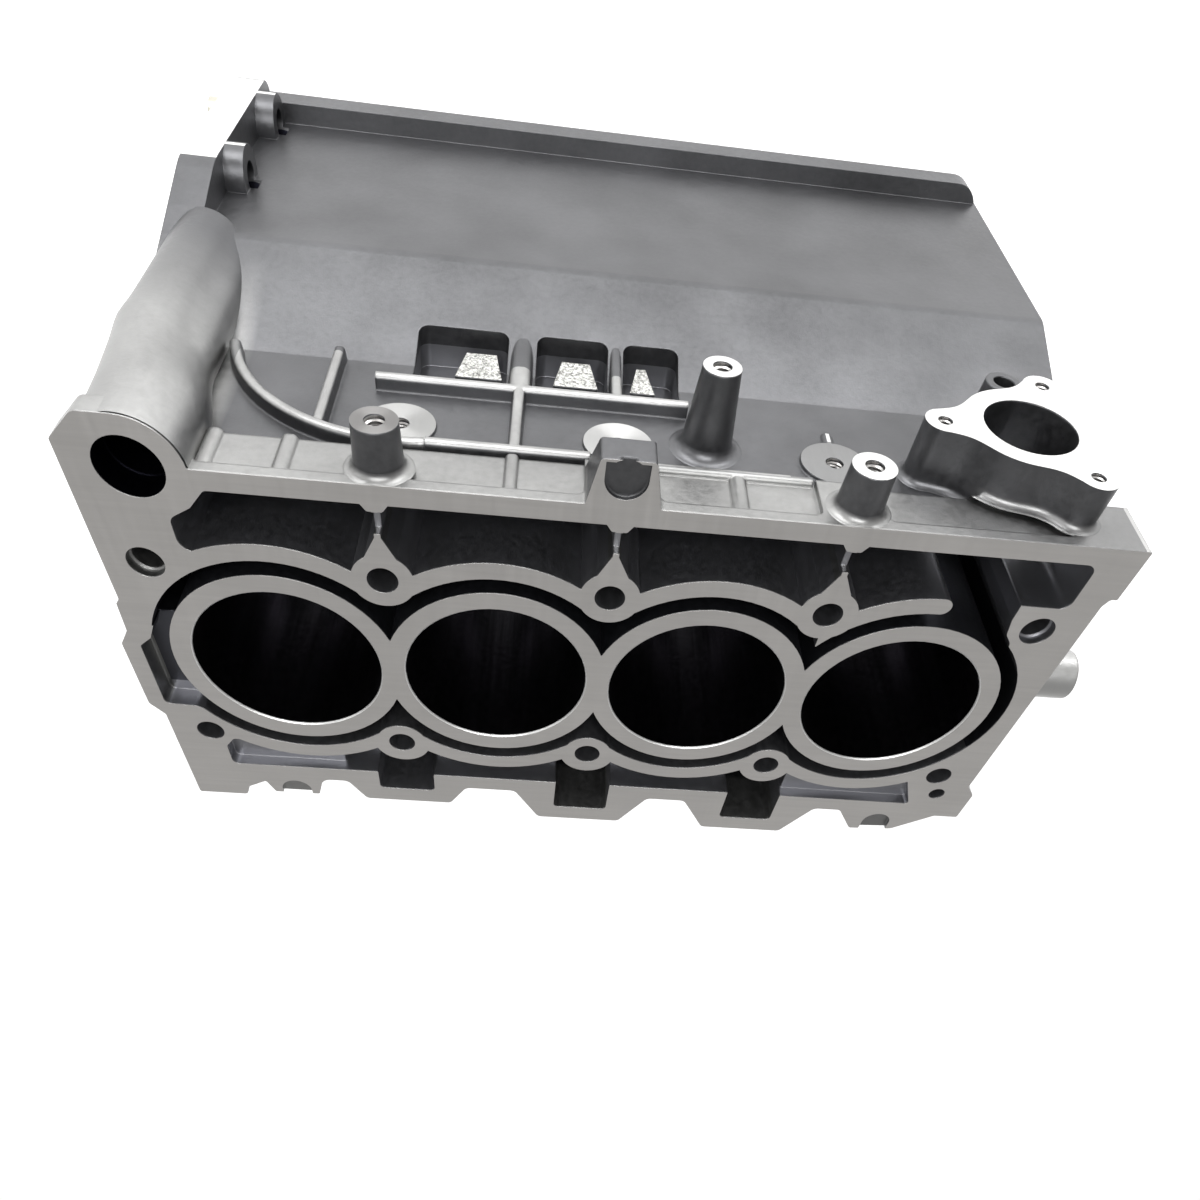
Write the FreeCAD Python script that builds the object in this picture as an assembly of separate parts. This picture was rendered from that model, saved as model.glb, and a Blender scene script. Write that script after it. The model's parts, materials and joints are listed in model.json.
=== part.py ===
"""Open-deck aluminium cylinder block of a small four-cylinder in-line petrol engine.

Frame: X along the crankshaft, +Z up the cylinders, origin on the crank axis half way between
cylinders 2 and 3. The intake side, with its ribs, bosses and pump flange, faces -Y.
All sizes are in millimetres. Depths named *_drop are measured down from the deck face.
"""
import FreeCAD, Part
import math
import os

V = FreeCAD.Vector
UP, DOWN = V(0, 0, 1), V(0, 0, -1)
ALONG, OUT = V(1, 0, 0), V(0, -1, 0)

# ---------------------------------------------------------------- driving dimensions
bore_spacing = 82.0
bore_count = 4
bore_diameter = 72.2
bore_chamfer = 0.6
cylinder_length = 134.0
ring_wall = 8.0                 # free-standing cylinder wall
jacket_gap = 6.4                # water slot round the cylinders
jacket_wall = 7.1               # wall outside the slot
jacket_depth = 88.0
deck_height = 208.0             # crank axis to deck face
rail_drop = 60.0                # crank axis to sump rail

end_margin_pump = 17.5          # end face beyond the outer head bolts, pump end
end_margin_gearbox = 16.0       # the same, gearbox end
front_edge = -85.0              # edge of the deck on the ribbed side
rear_edge = 75.3                # edge of the deck between the rear tabs
strip_width = 7.4               # deck strip outside the side pockets
flange_thickness = 25.0         # depth of the deck flange
side_wall_y = -79.5             # outer face of the ribbed wall
side_wall = 4.5                 # its thickness beside the pockets
pocket_depth = 64.0

head_bolt_front_y = -46.0
head_bolt_rear_y = 44.4
head_bolt_hole = 11.3
head_bolt_depth = 92.0
dowel_seat_diameter = 13.0
dowel_seat_depth = 4.0
front_boss_radius = 11.4
rear_boss_radius = 12.0

web_thickness = 2.2             # thin webs across the side pockets
web_drop = 4.0                  # web top edge below the deck
groove_edge = 67.0              # outer edge of the rear groove
groove_inner = 49.2
groove_shallow = 5.5
groove_deep = 15.0
tab_depths = (20.7, 19.9, 12.7)  # rear tabs beyond rear_edge, pump end first
tab_top_half = 19.8
tab_slope = 0.6                 # side slope of a tab
tab_wall = 9.0
tab_pocket_half = 12.7
tab_pocket_depth = 62.0

passage_diameter = 22.2         # corner passage, gearbox end
passage_wall = 6.9
passage_y = -84.0
passage_margin = 22.3           # from its axis to the gearbox end face
passage_straight = 12.0         # machined length of the passage below the deck
column_lean = (8.0, -5.0)       # offset of the column's foot from the passage axis
column_height = 60.0
column_foot_radius = 13.2

machined_y = -101.5             # common plane of the side bosses
pump_bore_diameter = 34.4
pump_bore_x = -145.4
pump_bore_drop = 43.5
pump_ring_wall = 7.2
pump_bolt_radius = 32.0
pump_ear_radius = 7.0

main_bore_diameter = 54.0
bulkhead = 20.0
skirt_half = 96.0               # crankcase half width outside
skirt_wall = 8.0
rail_half = 104.0
rail_thickness = 12.0
register_half = 54.0            # half width of a main cap in its register
cap_height = 46.0
cap_seat_rim = 2.0              # cap beside the flat that carries a bolt's head
cap_bolt_diameter = 10.0
cap_bolt_length = 88.0
gallery_y = 70.0                # main oil gallery along the rear wall
gallery_z = 108.0
gallery_radius = 10.5           # outside of its cast boss
gallery_bore = 10.0
gallery_plug_diameter = 14.0
gallery_plug_length = 11.0
gearbox_bolt_diameter = 10.5
gearbox_dowel_diameter = 14.0
gearbox_dowel_depth = 8.0       # length of each dowel sleeve inside the flange and out of it
clearance = 0.1                 # sliding and screwed fits

# ---------------------------------------------------------------- worked-out places
cap_seat_half = 1.2 * cap_bolt_diameter
cap_bolt_y = register_half - cap_seat_half - cap_seat_rim
bores_x = [(k - (bore_count - 1) / 2) * bore_spacing for k in range(bore_count)]
bolts_x = [(k - bore_count / 2) * bore_spacing for k in range(bore_count + 1)]
inner_bolts_x = bolts_x[1:-1]
pump_end = bolts_x[0] - end_margin_pump
gearbox_end = bolts_x[-1] + end_margin_gearbox
bore_radius = bore_diameter / 2
ring_radius = bore_radius + ring_wall
slot_radius = ring_radius + jacket_gap
wall_radius = slot_radius + jacket_wall
strip_inner = front_edge + strip_width
deck = deck_height
rail = -rail_drop
crankcase_roof = deck - cylinder_length
gearbox_face = gearbox_end - 1.0
passage_x = gearbox_end - passage_margin
passage_outer = passage_diameter / 2 + passage_wall
pad_y = side_wall_y - 1.5


# ---------------------------------------------------------------- drawing helpers
def outline(points, origin=V(0, 0, 0), ex=V(1, 0, 0), ey=V(0, 1, 0)):
    """Face bounded by straight runs through (u, v[, radius]); a radius rounds its corner."""
    corners = []
    count = len(points)
    for k, point in enumerate(points):
        here = V(point[0], point[1], 0)
        radius = point[2] if len(point) > 2 else 0.0
        before = points[k - 1]
        after = points[(k + 1) % count]
        to_before = (V(before[0], before[1], 0) - here).normalize()
        to_after = (V(after[0], after[1], 0) - here).normalize()
        half = to_before.getAngle(to_after) / 2
        if radius > 0 and 0.02 < half < math.pi / 2 - 0.02:
            reach = radius / math.tan(half)
            bisector = (to_before + to_after).normalize()
            middle = here + bisector * (radius / math.sin(half) - radius)
            corners.append((here + to_before * reach, middle, here + to_after * reach))
        else:
            corners.append((here, None, here))

    def place(p):
        return origin + ex * p.x + ey * p.y

    edges = []
    for k, (start, middle, end) in enumerate(corners):
        if middle is not None:
            edges.append(Part.Arc(place(start), place(middle), place(end)).toShape())
        next_start = corners[(k + 1) % count][0]
        if (next_start - end).Length > 1e-6:
            edges.append(Part.LineSegment(place(end), place(next_start)).toShape())
    return Part.Face(Part.Wire(edges))


def plan(points, top, bottom):
    """Prism of a plan outline between two heights."""
    return outline(points, V(0, 0, bottom)).extrude(V(0, 0, top - bottom))


def section(points, x0, x1):
    """Prism of a (y, z) outline between two stations along the block."""
    return outline(points, V(x0, 0, 0), V(0, 1, 0), UP).extrude(V(x1 - x0, 0, 0))


def elevation(points, y_in, y_out):
    """Prism of an (x, z) outline between two depths of the side wall."""
    return outline(points, V(0, y_in, 0), V(1, 0, 0), UP).extrude(V(0, y_out - y_in, 0))


def box(x0, x1, y0, y1, z0, z1):
    return Part.makeBox(x1 - x0, y1 - y0, z1 - z0, V(x0, y0, z0))


def post(x, y, radius, top, bottom):
    """Upright cylinder."""
    return Part.makeCylinder(radius, top - bottom, V(x, y, bottom))


def stub(x, z, radius, y_in, y_out, tip_radius=None):
    """Cylinder or taper that stands out of the side wall."""
    if tip_radius is None:
        return Part.makeCylinder(radius, y_in - y_out, V(x, y_in, z), OUT)
    return Part.makeCone(radius, tip_radius, y_in - y_out, V(x, y_in, z), OUT)


def fused(shapes):
    first, rest = shapes[0], shapes[1:]
    return first.multiFuse(rest) if rest else first


def rib_face(height, half_width):
    """Cross-section of a cast rib: drafted sides and a rounded crest."""
    return [(-half_width - 0.6, 0.0), (half_width + 0.6, 0.0),
            (half_width, height, half_width * 0.9), (-half_width, height, half_width * 0.9)]


def straight_rib(start, end, height, half_width=2.0, foot=side_wall_y + 1.0):
    """Rib on the side wall from start to end, both (x, z)."""
    run = V(end[0] - start[0], 0, end[1] - start[1])
    along = V(run.x, 0, run.z).normalize()
    across = V(-along.z, 0, along.x)
    face = outline(rib_face(height, half_width), V(start[0], foot, start[1]), across, OUT)
    return face.extrude(run)


def curved_rib(centre, radius, angle_from, angle_to, height, half_width=2.0):
    """Rib on the side wall along an arc about centre (x, z); angles from +X towards +Z."""
    a = math.radians(angle_from)
    outward = V(math.cos(a), 0, math.sin(a))
    middle = V(centre[0], side_wall_y + 1.0, centre[1])
    face = outline(rib_face(height, half_width), middle + outward * radius, outward, OUT)
    return face.revolve(middle, V(0, -1, 0), angle_to - angle_from)


# ---------------------------------------------------------------- outside of the casting
def deck_outline():
    """Plan of the deck face, with the middle lug, the rear tabs and the corner blocks."""
    points = [
        (pump_end - 4.0, front_edge, 0.6),
        (-12.6, front_edge, 1.0), (-9.0, machined_y - 0.5, 1.5),
        (9.0, machined_y - 0.5, 1.5), (12.6, front_edge, 1.0),
        (gearbox_face, front_edge),
        (gearbox_face, -27.5), (gearbox_end + 0.6, -25.5), (gearbox_end + 1.2, -12.0),
        (gearbox_end + 5.3, -5.0, 2.5), (gearbox_end + 5.3, 29.0, 3.0),
        (gearbox_end + 0.3, 35.5, 2.0), (gearbox_end, rear_edge + 14.9, 1.0),
        (gearbox_end - 22.0, rear_edge + 14.9, 2.0), (gearbox_end - 23.5, rear_edge + 9.0, 1.0),
        (gearbox_end - 32.5, rear_edge + 3.7, 0.8), (gearbox_end - 35.7, rear_edge + 11.5, 1.0),
        (gearbox_end - 56.0, rear_edge + 11.5, 1.0), (gearbox_end - 59.0, rear_edge, 5.0),
    ]
    for x, depth in reversed(list(zip(inner_bolts_x, tab_depths))):
        foot = tab_top_half + tab_slope * depth
        points += [(x + foot, rear_edge, 4.0), (x + tab_top_half, rear_edge + depth, 3.0),
                   (x - tab_top_half, rear_edge + depth, 3.0), (x - foot, rear_edge, 4.0)]
    points += [
        (pump_end + 54.5, rear_edge, 3.0), (pump_end + 45.0, rear_edge + 14.4, 2.0),
        (pump_end + 24.0, rear_edge + 13.2, 5.0), (pump_end + 6.5, rear_edge + 0.2, 1.5),
        (pump_end - 5.0, rear_edge + 0.2, 1.0), (pump_end - 5.0, rear_edge - 18.0, 3.0),
        (pump_end, rear_edge - 24.0, 3.0), (pump_end, -60.0, 2.5), (pump_end - 1.5, -63.5, 1.5),
        (pump_end - 4.0, -63.5, 0.6),
    ]
    return points


def deck_flange():
    lobe = [(passage_x, passage_y - passage_outer), (gearbox_end - 11.0, passage_y - passage_outer, 4.0),
            (gearbox_face, passage_y - 8.0, 1.5), (gearbox_face, passage_y + 30.0),
            (passage_x, passage_y + 30.0)]
    lug_foot = [(machined_y - 0.5, deck), (machined_y - 0.5, deck - 10.6, 1.5),
                (front_edge, deck - 21.0, 4.0), (side_wall_y + 2.0, deck - 23.0),
                (side_wall_y + 2.0, deck)]
    low = deck - flange_thickness
    flange = fused([
        plan(deck_outline(), deck, low),
        plan(lobe, deck, deck - 9.0),
        post(passage_x, passage_y, passage_outer, deck, low),
    ])
    # the middle lug is only as deep as its wedge-shaped foot
    below_lug = section([(machined_y - 3.0, deck - 10.6), (front_edge, deck - 21.0),
                         (front_edge, low - 1.0), (machined_y - 3.0, low - 1.0)], -14.0, 14.0)
    return flange.cut(below_lug).fuse(section(lug_foot, -8.0, 8.0))


def barrels():
    """Upper body below the flange: flat ribbed wall, scalloped rear wall, tab columns."""
    top, low = deck - flange_thickness, crankcase_roof - 6.0
    parts = [
        box(pump_end, gearbox_face, side_wall_y, 30.0, low, top),
        box(pump_end, bolts_x[0] + 8.0, 0.0, rear_edge - 4.0, low, top),
        box(bolts_x[-1] - 8.0, gearbox_face, 0.0, rear_edge - 4.0, low, top),
    ]
    for x in bores_x:
        parts.append(post(x, 0.0, wall_radius, top, low))
    for x, depth in zip(inner_bolts_x, tab_depths):
        half = tab_pocket_half + 5.0
        parts.append(plan([(x - half, 30.0), (x + half, 30.0), (x + half, rear_edge + depth - 2.0, 5.0),
                           (x - half, rear_edge + depth - 2.0, 5.0)], top, low))
    return fused(parts)


def crankcase():
    """Skirts that flare from the barrels to the sump rail, and the rail itself."""
    flare = crankcase_roof - 4.0
    body = section([
        (side_wall_y, deck - 84.0), (-skirt_half, flare, 14.0), (-skirt_half, rail),
        (skirt_half, rail), (skirt_half, flare, 14.0), (wall_radius + 3.0, deck - 92.0, 6.0),
        (wall_radius - 20.0, deck - 84.0)], pump_end, gearbox_face)
    rail_face = plan([
        (pump_end, -rail_half, 12.0), (gearbox_face, -rail_half, 12.0),
        (gearbox_face, rail_half, 12.0), (pump_end, rail_half, 12.0)],
        rail + rail_thickness, rail)
    return fused([body, rail_face])


def corner_column():
    """Leaning, tapered round column that carries the corner passage down to the crankcase."""
    foot_x, foot_y = passage_x + column_lean[0], passage_y + column_lean[1]
    foot = deck - 6.0 - column_height
    leaning = leaning_taper(deck - 6.0, passage_outer - 0.6, foot, column_foot_radius)
    return leaning.fuse(post(foot_x, foot_y, column_foot_radius, foot, crankcase_roof - 10.0))


def leaning_taper(top, top_radius, foot, foot_radius):
    """Solid between a circle on the passage axis and one on the foot of the column."""
    foot_centre = V(passage_x + column_lean[0], passage_y + column_lean[1], foot)
    upper = Part.Circle(V(passage_x, passage_y, top), UP, top_radius).toShape()
    lower = Part.Circle(foot_centre, UP, foot_radius).toShape()
    return Part.makeLoft([Part.Wire(upper), Part.Wire(lower)], True, True)


def pump_flange():
    """Round pump seat with three ears, standing out of the side wall."""
    z = deck - pump_bore_drop
    ring = stub(pump_bore_x, z, pump_bore_diameter / 2 + pump_ring_wall, side_wall_y + 4.0, machined_y)
    parts = [ring]
    for ear in pump_ears():
        parts.append(stub(ear[0], ear[1], pump_ear_radius, side_wall_y + 4.0, machined_y))
        run = V(ear[0] - pump_bore_x, 0, ear[1] - z).normalize()
        side = V(-run.z, 0, run.x)
        web = [(0, -pump_ear_radius), (pump_bolt_radius, -pump_ear_radius),
               (pump_bolt_radius, pump_ear_radius), (0, pump_ear_radius)]
        face = outline(web, V(pump_bore_x, side_wall_y + 4.0, z), run, side)
        parts.append(face.extrude(V(0, machined_y - side_wall_y - 4.0, 0)))
    return fused(parts)


def pump_ears():
    z = deck - pump_bore_drop
    return [(pump_bore_x + pump_bolt_radius * math.cos(math.radians(a)),
             z + pump_bolt_radius * math.sin(math.radians(a))) for a in (2.0, 120.0, 246.0)]


def side_bosses():
    """Threaded bosses, round machined pads and the long boss on the ribbed wall."""
    parts = []
    for x in (bolts_x[1] + 0.2, bolts_x[3] - 1.2):
        parts.append(stub(x, deck - 10.4, 8.9, side_wall_y + 4.0, machined_y, 7.7))
    for x in (bolts_x[1] + 2.0, 0.5, bolts_x[3] - 3.5):
        parts.append(stub(x, deck - 43.0, 13.4, side_wall_y + 4.0, pad_y, 12.7))
    parts.append(stub(-32.0, deck - 47.5, 10.0, side_wall_y + 4.0, -110.0, 6.8))
    parts.append(stub(pump_bore_x + 0.3, deck - 76.0, 8.0, side_wall_y + 4.0, machined_y + 1.5, 7.0))
    return parts


def side_ribs():
    crest = side_wall_y + 1.0 - front_edge
    z1, z2 = deck - 29.0, deck - 67.5
    ribs = [
        straight_rib((11.0, z1), (bolts_x[3] - 14.0, z1), crest),
        straight_rib((bolts_x[1] + 14.0, deck - 25.5), (-12.0, deck - 25.5), crest),
        straight_rib((-26.0, z2), (90.0, z2), crest),
        straight_rib((37.5, z1), (37.5, z2), crest),
        straight_rib((105.6, deck - 34.0), (105.6, deck - 84.0), crest - 0.5, 1.8),
        curved_rib((bolts_x[3] - 4.4, deck - 94.8), 67.0, 12.0, 98.0, crest),
        straight_rib((37.5, z2), (37.5, deck - 104.0), crest, 4.0),
        straight_rib((1.0, z2), (1.0, deck - 104.0), crest, 2.0),
        straight_rib((bolts_x[1] + 2.0, deck - 55.0), (bolts_x[1] + 2.0, deck - 62.0), 2.5, 2.0),
    ]
    for x, half in ((37.8, 2.2), (112.5, 2.8), (137.0, 2.8), (-41.0, 3.0)):
        ribs.append(straight_rib((x, deck - 3.0), (x, deck - 25.0), crest - 0.4, half))
    return ribs


def end_boss():
    """Coolant stub on the pump end face."""
    start = V(pump_end + 4.0, -8.0, deck - 18.0)
    return Part.makeCylinder(10.4, 24.0, start, V(-1, 0, 0))


def gearbox_flange():
    """Flange round the gearbox end, with bolt bosses along its edge."""
    thickness = 14.0
    x0, x1 = gearbox_face - thickness, gearbox_face
    parts = [section([(-rail_half - 6.0, rail, 8.0), (rail_half + 6.0, rail, 8.0),
                      (rail_half + 6.0, 40.0, 30.0), (rear_edge, deck - 62.0, 20.0),
                      (-rear_edge, deck - 62.0, 20.0), (-rail_half - 6.0, 40.0, 30.0)], x0, x1)]
    for y, z in gearbox_bolts():
        parts.append(Part.makeCylinder(11.0, thickness + 8.0, V(x0 - 8.0, y, z), ALONG))
    return fused(parts)


def oil_gallery():
    """Cast boss of the main oil gallery, along the rear wall."""
    start = V(pump_end, gallery_y, gallery_z)
    return Part.makeCylinder(gallery_radius, gearbox_face - pump_end, start, ALONG)


def gearbox_bolts():
    return [(side * y, z) for side in (-1, 1) for y, z in ((99.0, -38.0), (99.0, 22.0), (80.0, 96.0))]


# ---------------------------------------------------------------- hollows of the casting
def water_jacket():
    """Slot round the siamesed cylinders, its bridges beside the bolts and the pump inlet."""
    low = deck - jacket_depth
    parts = [post(x, 0.0, slot_radius, deck + 1.0, low) for x in bores_x]
    bridge_front, bridge_rear = head_bolt_front_y + 6.0, head_bolt_rear_y - 5.3
    for x in inner_bolts_x:
        parts.append(box(x - 12.0, x + 12.0, bridge_front, bridge_rear, low, deck + 1.0))
    first = bores_x[0]
    inlet = [(first - 28.8, strip_inner + 10.0), (first - 28.8, -50.5, 3.0), (first - 30.3, -43.0, 4.0),
             (first - 36.0, -36.5, 5.0), (first - 27.0, -28.0), (first, -40.0), (first, strip_inner + 10.0)]
    parts.append(plan(inlet, deck + 1.0, low))
    mid_radius = (slot_radius + wall_radius) / 2
    tip = post(first, -mid_radius, jacket_wall / 2, deck + 2.0, low - 1.0)
    wall = post(first, 0.0, wall_radius, deck + 2.0, low - 1.0)
    wall = wall.cut(post(first, 0.0, slot_radius, deck + 3.0, low - 2.0))
    wall = wall.common(box(first, first + 41.0, -60.0, -30.0, low - 1.0, deck + 2.0))
    keep = [tip, wall]
    for x in inner_bolts_x:
        keep.append(post(x, head_bolt_front_y, front_boss_radius + 0.3, deck + 2.0, low - 1.0))
        keep.append(post(x, head_bolt_rear_y, rear_boss_radius - 1.3, deck + 2.0, low - 1.0))
    # the slot stays shut below the shallow gearbox-end pocket
    last = bores_x[-1]
    keep.append(box(last + 35.0, gearbox_end, -15.5, 28.0, low - 1.0, deck + 2.0))
    slot = fused(parts).cut(fused(keep))
    return slot.cut(fused([post(x, 0.0, ring_radius, deck + 3.0, low - 2.0) for x in bores_x]))


def end_pocket():
    """Shallow pocket that joins the slot at the gearbox end."""
    last = bores_x[-1]
    points = [(last + 35.0, -15.5), (last + 47.5, -15.5), (last + 50.3, -9.0, 1.5),
              (gearbox_end - 1.5, -4.5, 2.0),
              (gearbox_end - 1.5, 28.4, 2.5), (last + 43.0, 29.0, 4.0), (last + 35.0, 33.5)]
    pocket = plan(points, deck + 1.0, deck - 9.0)
    return pocket.cut(post(last, 0.0, ring_radius, deck + 2.0, deck - 10.0))


def pocket_plan(bottom, edge):
    """Prism of the four side pockets between the jacket wall and the deck strip."""
    top = deck + 1.0
    left = pump_end + 11.5
    right = bores_x[-1] + 27.5
    field = [(left, edge, 4.0), (right - 14.0, edge, 2.5), (right - 8.0, edge + 7.2, 3.0),
             (right, -65.5, 4.0), (right, -53.6, 5.5), (bores_x[-1], -45.0), (bores_x[0] - 28.8, -45.0),
             (bores_x[0] - 28.8, -57.4), (left, -57.4, 4.0)]
    solid = plan(field, top, bottom)
    keep = [post(x, 0.0, wall_radius, top + 1.0, bottom - 1.0) for x in bores_x]
    for x in inner_bolts_x:
        keep.append(post(x, head_bolt_front_y, front_boss_radius - 0.2, top + 1.0, bottom - 1.0))
        half = web_thickness / 2
        keep.append(plan([(x - 6.0, -55.0), (x - half, -64.5), (x - half, edge - 1.0), (x + half, edge - 1.0),
                          (x + half, -64.5), (x + 6.0, -55.0)], top + 1.0, bottom - 1.0))
        keep.append(plan([(x - 5.6, edge - 1.0), (x - 4.6, edge, 0.8), (x - 2.6, edge + 2.7, 1.2),
                          (x + 2.6, edge + 2.7, 1.2), (x + 4.6, edge, 0.8), (x + 5.6, edge - 1.0)],
                         top + 1.0, bottom - 1.0))
    return solid.cut(fused(keep))


def side_pockets():
    inner_edge = side_wall_y + side_wall
    parts = [pocket_plan(deck - flange_thickness + 4.0, strip_inner),
             pocket_plan(deck - pocket_depth, inner_edge)]
    for x in inner_bolts_x:
        parts.append(box(x - 4.0, x + 4.0, -74.7, -66.0, deck - web_drop, deck + 1.0))
    return parts


def rear_groove():
    """Long groove behind the jacket wall: shallow at both ends, deeper in the middle."""
    left, right = pump_end + 23.0, gearbox_end - 20.5
    middle = (bolts_x[1] - tab_pocket_half - 1.0, bolts_x[3] + 28.0)
    keep = [post(x, 0.0, wall_radius, deck + 2.0, deck - groove_deep - 1.0) for x in bores_x]
    for x in inner_bolts_x:
        keep.append(post(x, head_bolt_rear_y, rear_boss_radius, deck + 2.0, deck - groove_deep - 1.0))
    keep = fused(keep)
    whole = plan([(left + 7.5, groove_inner, 1.0), (right - 4.0, groove_inner, 2.0), (right, 54.5, 3.0),
                  (right, groove_edge, 3.0), (left, groove_edge, 1.5)], deck + 1.0, deck - groove_shallow)
    deep = box(middle[0], middle[1], groove_inner, groove_edge, deck - groove_deep, deck + 1.0)
    return [whole.cut(keep), deep.cut(keep)]


def tab_pockets():
    parts = []
    for x, depth in zip(inner_bolts_x, tab_depths):
        edge = rear_edge + depth - tab_wall
        half = tab_pocket_half
        cut = plan([(x - half, groove_inner), (x + half, groove_inner),
                    (x + half, edge, 2.5), (x - half, edge, 2.5)],
                   deck + 1.0, deck - tab_pocket_depth)
        keep = [post(x, head_bolt_rear_y, rear_boss_radius, deck + 2.0, deck - tab_pocket_depth - 1.0)]
        keep += [post(b, 0.0, wall_radius, deck + 2.0, deck - tab_pocket_depth - 1.0) for b in bores_x]
        parts.append(cut.cut(fused(keep)))
    return parts


def datum_recesses():
    """Three shallow D-shaped locating recesses in the deck edge."""
    depth = 1.8
    lug_edge = machined_y + 0.5
    parts = [
        plan([(-7.3, lug_edge), (7.3, lug_edge), (7.3, -95.0), (-7.3, -95.0)], deck + 1.0, deck - depth),
        post(0.0, -95.0, 7.3, deck + 1.0, deck - depth),
    ]
    for x, y in ((pump_end + 33.5, rear_edge + 8.2), (gearbox_end - 46.0, rear_edge + 9.0)):
        parts.append(post(x, y, 6.8, deck + 1.0, deck - depth))
        parts.append(box(x - 6.8, x + 6.8, y, rear_edge + 16.0, deck - depth, deck + 1.0))
    return parts


def deck_holes():
    parts = []
    for x in bolts_x:
        for y in (head_bolt_front_y, head_bolt_rear_y):
            parts.append(post(x, y, head_bolt_hole / 2, deck + 1.0, deck - head_bolt_depth))
    for x in (bolts_x[0], bolts_x[-1]):
        parts.append(post(x, head_bolt_front_y, dowel_seat_diameter / 2, deck + 1.0, deck - dowel_seat_depth))
    parts.append(post(bolts_x[0] - 4.7, head_bolt_rear_y + 13.4, 3.7, deck + 1.0, deck - 40.0))
    parts.append(post(passage_x, passage_y, passage_diameter / 2, deck + 1.0, deck - passage_straight))
    parts.append(leaning_taper(deck - passage_straight, passage_diameter / 2 - 0.3, deck - column_height,
                               column_foot_radius - passage_wall + 1.0))
    for x in bores_x:
        parts.append(post(x, 0.0, bore_radius, deck + 1.0, crankcase_roof - 30.0))
        parts.append(Part.makeCone(bore_radius, bore_radius + bore_chamfer + 0.2, bore_chamfer + 0.2,
                                   V(x, 0, deck - bore_chamfer)))
    return parts


def side_holes():
    z = deck - pump_bore_drop
    parts = [stub(pump_bore_x, z, pump_bore_diameter / 2, strip_inner + 12.0, machined_y - 1.0)]
    for x, zz in pump_ears():
        parts.append(stub(x, zz, 2.7, machined_y + 16.0, machined_y - 1.0))
    parts.append(stub(pump_bore_x + 0.3, deck - 76.0, 4.2, machined_y + 18.0, machined_y - 1.0))
    for x in (bolts_x[1] + 0.2, bolts_x[3] - 1.2):
        parts.append(stub(x, deck - 10.4, 3.4, machined_y + 20.0, machined_y - 1.0))
    for x in (bolts_x[1] + 2.0, 0.5, bolts_x[3] - 3.5):
        parts.append(stub(x, deck - 43.0, 3.4, pad_y + 5.5, pad_y - 1.0))
    parts.append(stub(-32.0, deck - 47.5, 3.4, -90.0, -111.0))
    return parts


def side_panels():
    """Recessed panels in the flange band, and the window recesses under the lower rib."""
    y0, y1 = front_edge + 2.2, machined_y - 12.0
    top, low = deck - 5.0, deck - flange_thickness
    parts = []
    for x0, x1 in ((12.8, 140.0), (bolts_x[1] + 13.0, -12.8), (pump_end + 22.0, bolts_x[1] - 10.0)):
        parts.append(elevation([(x0, low - 1.0), (x1, low - 1.0), (x1, top, 3.0), (x0, top, 3.0)], y0, y1))
    for x0, x1 in ((-24.0, -2.0), (4.0, 32.0), (43.0, 78.0)):
        parts.append(elevation([(x0, deck - 104.0, 4.0), (x1, deck - 104.0, 4.0), (x1, deck - 72.5, 2.0),
                                (x0, deck - 72.5, 2.0)], side_wall_y + 10.0, y1))
    return parts


def gate_pads():
    """Rough trimmed casting gates inside the windows."""
    parts = []
    for x0, x1 in ((-14.0, -4.5), (8.0, 25.0), (44.5, 62.0)):
        points = [(x0, deck - 76.5), (x1, deck - 76.5), (x1 - 3.0, deck - 94.0), (x0 + 3.0, deck - 94.0)]
        parts.append(elevation(points, side_wall_y + 12.0, side_wall_y - 2.0))
    return parts


def crank_space():
    """Four crank bays, the cap registers, the main bores and the openings under the end caps."""
    inner = skirt_half - skirt_wall
    half_bay = (bore_spacing - bulkhead) / 2
    bay = [(-inner, rail - 1.0), (inner, rail - 1.0), (inner, 20.0, 18.0),
           (bore_radius + 8.0, crankcase_roof, 12.0),
           (-bore_radius - 8.0, crankcase_roof, 12.0), (-inner, 20.0, 18.0)]
    parts = [section(bay, x - half_bay, x + half_bay) for x in bores_x]
    fit = register_half + clearance
    open_low = [(-inner, rail - 1.0), (inner, rail - 1.0), (inner, -44.0, 8.0), (fit, -20.0, 4.0), (fit, 0.0),
                (-fit, 0.0), (-fit, -20.0, 4.0), (-inner, -44.0, 8.0)]
    parts.append(section(open_low, bolts_x[1] - bulkhead, bolts_x[3] + bulkhead))
    parts.append(box(pump_end - 1.0, gearbox_end + 1.0, -fit, fit, rail - 1.0, 0.0))
    parts.append(Part.makeCylinder(main_bore_diameter / 2, gearbox_end - pump_end + 2.0,
                                   V(pump_end - 1.0, 0, 0), ALONG))
    for x in bolts_x:
        for y in (-cap_bolt_y, cap_bolt_y):
            depth = cap_bolt_length - cap_bolt_seat() + 4.0
            parts.append(post(x, y, cap_bolt_diameter / 2 + clearance, depth, -1.0))
    return parts


def cap_bolt_seat():
    """Thickness of a cap under its bolt heads."""
    return cap_height - 8.0


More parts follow.
